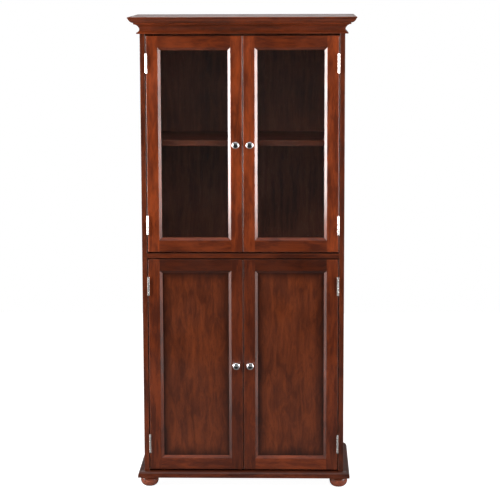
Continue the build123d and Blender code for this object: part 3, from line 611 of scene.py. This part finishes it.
@dataclass(frozen=True)
class PaneGlass:
    """Clear float glass with a faint film of dust.

    Attributes:
        label: the material's name.
        tint: the glass's own colour.
        dusty: how rough its dustiest part is.
    """

    label: str
    tint: Colour = (0.95, 0.97, 0.965)
    dusty: float = 0.035

    def dress(self) -> bpy.types.Material:
        """Makes the glass, which lets lamps through to what is behind it.

        Returns:
            The material.
        """
        material, bench, shader, place = new_material(self.label)
        film = LACQUER.lay_into(bench, Place=place, Glossiest=0.0, Dullest=self.dusty)
        bench.feed(shader.inputs["Base Color"], self.tint)
        shader.inputs["Transmission Weight"].default_value = 1.0
        shader.inputs["IOR"].default_value = GLASS_IOR
        bench.feed(shader.inputs["Roughness"], film.outputs["Roughness"])
        clear = bench.place("ShaderNodeBsdfTransparent")
        bench.feed(clear.inputs["Color"], self.tint)
        path = bench.place("ShaderNodeLightPath")
        blend = bench.place("ShaderNodeMixShader")
        bench.feed(blend.inputs[0], path.outputs["Is Shadow Ray"])
        bench.feed(blend.inputs[1], shader.outputs[0])
        bench.feed(blend.inputs[2], clear.outputs[0])
        bench.feed(material.node_tree.nodes["Material Output"].inputs["Surface"], blend.outputs[0])
        return material


MAHOGANY = StainedWood("mahogany_stain", deep=(0.135, 0.021, 0.0045), thin=(0.36, 0.06, 0.011),
                       rubbed=(0.36, 0.1, 0.04))
# The crown's quirks get the strongest painted shade, found over a longer reach.
CROWN_MAHOGANY = StainedWood("crown_stain", deep=(0.085, 0.016, 0.004), thin=(0.215, 0.037, 0.0085),
                             rubbed=(0.3, 0.085, 0.04), nook_shade=1.0, nook_size=14 * MM)
PANEL_VENEER = StainedWood("panel_veneer", deep=(0.066, 0.012, 0.003), thin=(0.19, 0.037, 0.008),
                           rubbed=(0.2, 0.045, 0.015), cloud=0.35, mottle=0.55, streak=0.4, toned=0.85)
BACK_VENEER = StainedWood("back_veneer", deep=(0.085, 0.03, 0.017), thin=(0.28, 0.1, 0.06),
                          rubbed=(0.14, 0.05, 0.02), cloud=0.3, mottle=0.1, streak=0.7, film=0.15,
                          glossiest=0.4, dullest=0.56)
SHELF_MAHOGANY = StainedWood("shelf_stain", deep=(0.09, 0.018, 0.006), thin=(0.2, 0.042, 0.012),
                             rubbed=(0.2, 0.06, 0.025), film=0.3)
FOOT_MAHOGANY = StainedWood("foot_stain", deep=(0.26, 0.055, 0.025), thin=(0.5, 0.12, 0.055),
                            rubbed=(0.5, 0.16, 0.08), cloud=0.3, mottle=0.2, streak=0.35,
                            glossiest=0.2, dullest=0.3, film=0.9, film_rough=0.07)
BEECH = StainedWood("beech_dowel", deep=(0.42, 0.25, 0.13), thin=(0.62, 0.42, 0.25), rubbed=(0.66, 0.48, 0.3),
                    film=0.0, glossiest=0.55, dullest=0.7)

POLISHED_CHROME = FittingMetal("polished_chrome", (0.93, 0.93, 0.94), (0.72, 0.72, 0.73), 0.035, 0.1, 0.25)
SATIN_NICKEL = FittingMetal("bright_nickel", (0.88, 0.86, 0.83), (0.6, 0.57, 0.53), 0.12, 0.24, 0.6,
                            MetalKind.DRAWN_UPRIGHT)
SCREW_NICKEL = FittingMetal("screw_nickel", (0.8, 0.78, 0.74), (0.45, 0.43, 0.4), 0.16, 0.32, 0.8)
PIN_STEEL = FittingMetal("nickel_pin_steel", (0.72, 0.71, 0.69), (0.42, 0.41, 0.39), 0.2, 0.36, 0.7)
ZINC_STEEL = FittingMetal("zinc_steel", (0.68, 0.7, 0.71), (0.4, 0.41, 0.42), 0.26, 0.46, 0.9,
                          MetalKind.DRAWN_DEEP)

CATCH_PLASTIC = MouldedPlastic("catch_brown_plastic", (0.085, 0.04, 0.022), (0.13, 0.07, 0.045))
GLIDE_PLASTIC = MouldedPlastic("glide_black_plastic", (0.02, 0.02, 0.021), (0.06, 0.06, 0.062), 0.45, 0.7)
WINDOW_GLASS = PaneGlass("window_glass")


def put_on(node: str, material: bpy.types.Material) -> None:
    """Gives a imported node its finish.

    Args:
        node: the node's name.
        material: the finish for all its slots.
    """
    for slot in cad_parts[node].material_slots:
        slot.material = material
    log.info("%s: %s", node, material.name)


# ---- the cabinet's sub-assemblies ---------------------------------------------------------------


@dataclass
class Carcass:
    """The fixed case: sides, top, shelves, backs, base board and its hidden joinery."""

    # Painted shadow on the base board, darker towards its top under the doors.
    base_top_shade: float = 0.4
    # Each board's third figure is its tone factor, matched to how light it looked, painted shade included.
    boards: dict[str, tuple[StainedWood, GrainAxis, float]] = field(default_factory=lambda: {
        "left_side_panel": (MAHOGANY, GrainAxis.UPRIGHT, 0.46),
        "right_side_panel": (MAHOGANY, GrainAxis.UPRIGHT, 0.4),
        "top_panel": (MAHOGANY, GrainAxis.ACROSS, 0.6),
        "fixed_shelf": (MAHOGANY, GrainAxis.ACROSS, 0.38),
        "base_board": (MAHOGANY, GrainAxis.ACROSS, 0.52),
        "upper_back_panel": (BACK_VENEER, GrainAxis.UPRIGHT, 0.66),
        "lower_back_panel": (BACK_VENEER, GrainAxis.UPRIGHT, 0.66),
        "upper_shelf": (SHELF_MAHOGANY, GrainAxis.ACROSS, 0.3),
        "lower_shelf": (SHELF_MAHOGANY, GrainAxis.ACROSS, 0.5),
        "dowels": (BEECH, GrainAxis.ACROSS, 1.0),
    })

    def dress(self) -> None:
        """Finishes the boards, each with its own figure, and the joinery."""
        for node, (finish, grain, tone) in self.boards.items():
            top_shade = self.base_top_shade if node == "base_board" else 1.0
            put_on(node, finish.dress(node, grain, tone, top_shade))
        put_on("carcass_screws", SCREW_NICKEL.dress())
        put_on("cam_fittings", ZINC_STEEL.dress())
        put_on("shelf_pins", PIN_STEEL.dress())


@dataclass
class Crown:
    """The stepped cornice board and the cove moulding under it."""

    lengths: dict[str, GrainAxis] = field(default_factory=lambda: {
        "cornice_board": GrainAxis.ACROSS,
        "crown_front": GrainAxis.ACROSS,
        "crown_left": GrainAxis.DEEP,
        "crown_right": GrainAxis.DEEP,
    })

    def dress(self) -> None:
        """Finishes the board and each mitred length with its grain along it."""
        for node, grain in self.lengths.items():
            put_on(node, CROWN_MAHOGANY.dress(node, grain))


@dataclass
class Feet:
    """Four bun feet on studs, with plastic glides."""

    corners: tuple[str, ...] = ("front_left", "front_right", "rear_left", "rear_right")

    def dress(self) -> None:
        """Finishes the turned feet, their studs and their glides."""
        for corner in self.corners:
            put_on(f"foot_{corner}", FOOT_MAHOGANY.dress(f"foot_{corner}", GrainAxis.UPRIGHT))
        put_on("foot_bolts", ZINC_STEEL.dress())
        put_on("foot_glides", GLIDE_PLASTIC.dress())


@dataclass
class Door:
    """One hinged door: its frame, knob, hinge leaves, strike plate and screws."""

    name: str
    # Tone factors matched to how light each part looked, painted shade included: the rails' and the lower
    # doors' low ones paint in the shade that falls on them.
    hinge_tone_and_shade: float = 1.0
    lock_tone_and_shade: float = 1.0
    rail_tone_and_shade: float = 0.7
    # Painted shadow on the rails, darker towards the top.
    rail_top_shade: float = 1.0

    def dress(self) -> None:
        """Finishes the frame and the fittings that every door has."""
        for part, tone in (("hinge_stile", self.hinge_tone_and_shade), ("lock_stile", self.lock_tone_and_shade)):
            node = f"{self.name}_{part}"
            put_on(node, MAHOGANY.dress(node, GrainAxis.UPRIGHT, tone))
        rails = f"{self.name}_rails"
        put_on(rails, MAHOGANY.dress(rails, GrainAxis.ACROSS, self.rail_tone_and_shade, self.rail_top_shade))
        put_on(f"{self.name}_knob", POLISHED_CHROME.dress())
        put_on(f"{self.name}_hinge_leaves", SATIN_NICKEL.dress())
        put_on(f"{self.name}_strike_plate", ZINC_STEEL.dress())
        put_on(f"{self.name}_screws", SCREW_NICKEL.dress())


@dataclass
class GlazedDoor(Door):
    """A door with a pane held by beads."""

    def dress(self) -> None:
        """Finishes the frame, the beads and the pane."""
        super().dress()
        beads = f"{self.name}_glazing_beads"
        put_on(beads, MAHOGANY.dress(beads, GrainAxis.UPRIGHT))
        put_on(f"{self.name}_glass", WINDOW_GLASS.dress())


@dataclass
class PanelledDoor(Door):
    """A door with a flat veneered panel."""

    def dress(self) -> None:
        """Finishes the frame and the panel, toned darker round its edge."""
        super().dress()
        panel = f"{self.name}_panel"
        put_on(panel, PANEL_VENEER.dress(panel, GrainAxis.UPRIGHT))


@dataclass
class Hinges:
    """The carcass's leaves and the pins of the eight butt hinges, and the magnetic catches."""

    def dress(self) -> None:
        """Finishes the leaves, pins and catches."""
        put_on("frame_hinge_leaves", SATIN_NICKEL.dress())
        put_on("hinge_pins", SATIN_NICKEL.dress())
        put_on("magnetic_catches", CATCH_PLASTIC.dress())


# ---- studio ---------------------------------------------------------------------------------------


@dataclass(frozen=True)
class SoftBox:
    """A soft area light.

    Attributes:
        name: its name.
        place: its middle, in metres.
        target: what it faces.
        wide: its width.
        tall: its height.
        power: its power in watts.
        colour: its colour.
        sheen_only: whether it shows only in reflections.
        matt: whether it shows in no reflection.
    """

    name: str
    place: Triple
    target: Triple
    wide: float
    tall: float
    power: float
    colour: Colour = WHITE
    sheen_only: bool = False
    matt: bool = False

    def hang(self) -> None:
        """Hangs the light, turned to its target."""
        lamp = bpy.data.lights.new(self.name, "AREA")
        lamp.shape = "RECTANGLE"
        lamp.size, lamp.size_y = self.wide, self.tall
        lamp.energy = self.power
        lamp.color = self.colour
        holder = bpy.data.objects.new(self.name, lamp)
        holder.location = self.place
        aim = Vector(self.target) - Vector(self.place)
        holder.rotation_euler = aim.to_track_quat("-Z", "Y").to_euler()
        holder.visible_diffuse = not self.sheen_only
        holder.visible_glossy = not self.matt
        bpy.context.collection.objects.link(holder)


@dataclass
class Studio:
    """The floor, the surroundings and the lights.

    Both look white when seen straight on or through clear glass. In reflections they are dark in
    front of the cabinet and bright above it and low at its sides.
    """

    floor_front: float = -2.3
    floor_back: float = 3.2
    floor_half: float = 3.4
    floor_glow: float = 0.02
    ambient: float = 0.06
    front_glow: float = 0.025
    rear_glow: float = 0.1
    overhead_glow: float = 0.9
    side_glow: float = 0.8
    side_near: float = 0.9
    side_far: float = 1.5
    front_share: float = 0.35
    side_share: float = 1.5
    floor_white: float = 0.96
    lights: tuple[SoftBox, ...] = (
        SoftBox("softbox_left", (-2.3, -1.15, 1.65), (0.0, -0.2, 1.4), 0.55, 1.9, 66.0),
        SoftBox("softbox_right", (2.3, -1.15, 1.65), (0.0, -0.2, 1.4), 0.55, 1.9, 48.0),
        SoftBox("softbox_high", (-0.6, -2.6, 3.7), (0.0, 0.0, 1.75), 2.6, 1.6, 40.0, matt=True),
        SoftBox("softbox_rear", (0.0, 3.0, 3.2), (0.0, 0.2, 0.9), 2.6, 1.2, 40.0),
        SoftBox("sheen_left", (-2.76, -0.96, 1.25), (0.0, 0.0, 1.25), 1.4, 1.4, 105.0, sheen_only=True),
        SoftBox("sheen_right", (2.76, -1.0, 1.25), (0.0, 0.0, 1.25), 1.4, 1.4, 78.0, sheen_only=True),
    )

    def seen_by_eye(self, bench: NodeBench, path: bpy.types.Node, ahead: float = 0.0) -> bpy.types.NodeSocket:
        """Finds the rays that look straight at the studio, or do so through clear panes alone.

        A ray that was reflected inside a pane, or that comes off a surface behind one, has more
        bounces than passes through glass, and isn't counted.

        Args:
            bench: the material's or surroundings' bench.
            path: its Light Path node.
            ahead: the bounces counted before arrival: one for the surroundings, none for a surface.

        Returns:
            The socket that is 1 for those rays and 0 for the others.
        """
        others = bench.sum_up("SUBTRACT", path.outputs["Ray Depth"], path.outputs["Transmission Depth"])
        through = bench.sum_up("MULTIPLY", path.outputs["Is Transmission Ray"],
                               bench.sum_up("LESS_THAN", others, ahead + 0.5))
        return bench.sum_up("MAXIMUM", path.outputs["Is Camera Ray"], through)

    def lay_floor(self) -> None:
        """Lays the floor as a finely cut plane with a faintly clouded white finish."""
        mesh = bpy.data.meshes.new("studio_floor")
        sheet = bmesh.new()
        bmesh.ops.create_grid(sheet, x_segments=12, y_segments=12, size=0.5)
        for vert in sheet.verts:
            vert.co.x *= 2.0 * self.floor_half
            vert.co.y = self.floor_front + (vert.co.y + 0.5) * (self.floor_back - self.floor_front)
        sheet.to_mesh(mesh)
        sheet.free()
        floor = bpy.data.objects.new("studio_floor", mesh)
        bpy.context.collection.objects.link(floor)
        material, bench, shader, place = new_material("studio_white")
        cloud = bench.spread(bench.noise(place, 3.0, 3.0), 0.3, 0.7, 0.4, 0.45)
        path = bench.place("ShaderNodeLightPath")
        across = bench.place("ShaderNodeSeparateXYZ")
        bench.feed(across.inputs[0], place)
        off_middle = bench.sum_up("ABSOLUTE", across.outputs["X"])
        aside = bench.spread(off_middle, self.side_near, self.side_far, self.front_share, self.side_share)
        mirrored = bench.spread(path.outputs["Is Glossy Ray"], 0.0, 1.0, 1.0, aside)
        cloud = bench.sum_up("MULTIPLY", cloud, mirrored)
        mixed = bench.place("ShaderNodeCombineColor")
        for socket in mixed.inputs[:3]:
            bench.feed(socket, cloud)
        bench.feed(shader.inputs["Base Color"], mixed.outputs[0])
        shader.inputs["Roughness"].default_value = 0.7
        bench.feed(shader.inputs["Emission Color"], WHITE)
        glow = bench.sum_up("MULTIPLY_ADD", self.seen_by_eye(bench, path), self.floor_white, self.floor_glow)
        side = bench.spread(off_middle, self.side_near, self.side_far, 0.0, self.side_glow)
        glow = bench.sum_up("MULTIPLY_ADD", path.outputs["Is Glossy Ray"], side, glow)
        bench.feed(shader.inputs["Emission Strength"], glow)
        mesh.materials.append(material)

    def paint_surroundings(self) -> None:
        """Makes the surroundings: white to the eye, and uneven in reflections."""
        world = bpy.data.worlds.new("studio_surroundings")
        world.use_nodes = True
        bpy.context.scene.world = world
        bench = NodeBench(world.node_tree)
        ground = world.node_tree.nodes["Background"]
        way = bench.place("ShaderNodeSeparateXYZ")
        bench.feed(way.inputs[0], bench.place("ShaderNodeTexCoord").outputs["Generated"])
        behind = bench.sum_up("MULTIPLY_ADD", way.outputs["X"], -0.45, way.outputs["Y"])
        glow = bench.spread(behind, -0.62, 0.35, self.front_glow, self.rear_glow)
        overhead = bench.spread(way.outputs["Z"], 0.62, 0.8, 0.0, self.overhead_glow)
        glow = bench.sum_up("MAXIMUM", glow, overhead)
        level = bench.spread(way.outputs["Z"], -0.1, -0.02, self.side_glow, 0.0)
        side = bench.spread(bench.sum_up("ABSOLUTE", way.outputs["X"]), 0.7, 0.85)
        glow = bench.sum_up("MAXIMUM", glow, bench.sum_up("MULTIPLY", side, level))
        seen = bench.place("ShaderNodeLightPath")
        soft = bench.tint(seen.outputs["Is Diffuse Ray"], bench.tint(glow, (0.0, 0.0, 0.0), WHITE),
                          (self.ambient,) * 3)
        bench.feed(ground.inputs["Color"], bench.tint(self.seen_by_eye(bench, seen, 1.0), soft, WHITE))
        ground.inputs["Strength"].default_value = 1.0

    def light_up(self) -> None:
        """Builds the floor, the surroundings and the lights, and keeps their colours plain."""
        self.lay_floor()
        self.paint_surroundings()
        for light in self.lights:
            light.hang()
        bpy.context.scene.view_settings.view_transform = "Standard"
        log.info("studio: %d lights", len(self.lights))


@dataclass(frozen=True)
class Camera:
    """A long lens a little right of the middle and slightly above the crown.

    Attributes:
        place: where it stands, in metres.
        yaw: how far it turns towards the left, in radians.
        pitch: how far it looks up, in radians.
        roll: how far it leans, in radians.
        lens: its focal length in millimetres on a 36 mm sensor.
    """

    place: Triple = (0.19584, -6.57077, 1.85722)
    yaw: float = 0.02674
    pitch: float = -0.15268
    roll: float = -0.00298
    lens: float = 130.1

    def set_up(self) -> None:
        """Sets the camera up and makes it the scene's camera."""
        ahead = Vector((-math.sin(self.yaw) * math.cos(self.pitch), math.cos(self.yaw) * math.cos(self.pitch),
                        math.sin(self.pitch)))
        level = Vector((math.cos(self.yaw), math.sin(self.yaw), 0.0))
        upright = level.cross(ahead)
        right = math.cos(self.roll) * level + math.sin(self.roll) * upright
        up = math.cos(self.roll) * upright - math.sin(self.roll) * level
        optics = bpy.data.cameras.new("camera")
        optics.lens = self.lens
        optics.sensor_width = 36.0
        optics.clip_end = 60.0
        camera = bpy.data.objects.new("camera", optics)
        turn = Matrix((right, up, -ahead)).transposed().to_4x4()
        camera.matrix_world = Matrix.Translation(self.place) @ turn
        bpy.context.collection.objects.link(camera)
        bpy.context.scene.camera = camera
        log.info("camera: %.1f mm", self.lens)


def main() -> None:
    """Finishes the cabinet part by part, then sets up the studio and the camera."""
    logging.basicConfig(level=logging.INFO, format="%(message)s")
    Carcass().dress()
    Crown().dress()
    Feet().dress()
    for side in ("left", "right"):
        # The lower doors' lower factors paint in the shade that falls on the cabinet's lower half.
        GlazedDoor(f"upper_{side}_door", hinge_tone_and_shade=0.82, lock_tone_and_shade=0.8, rail_tone_and_shade=0.54).dress()
        # The lower doors' rails get a painted shadow, darker towards their top.
        PanelledDoor(f"lower_{side}_door", hinge_tone_and_shade=0.56, lock_tone_and_shade=0.42,
                     rail_tone_and_shade=0.64, rail_top_shade=0.36).dress()
    Hinges().dress()
    Studio().light_up()
    Camera().set_up()
    bpy.context.view_layer.update()


if __name__ == "__main__":
    main()
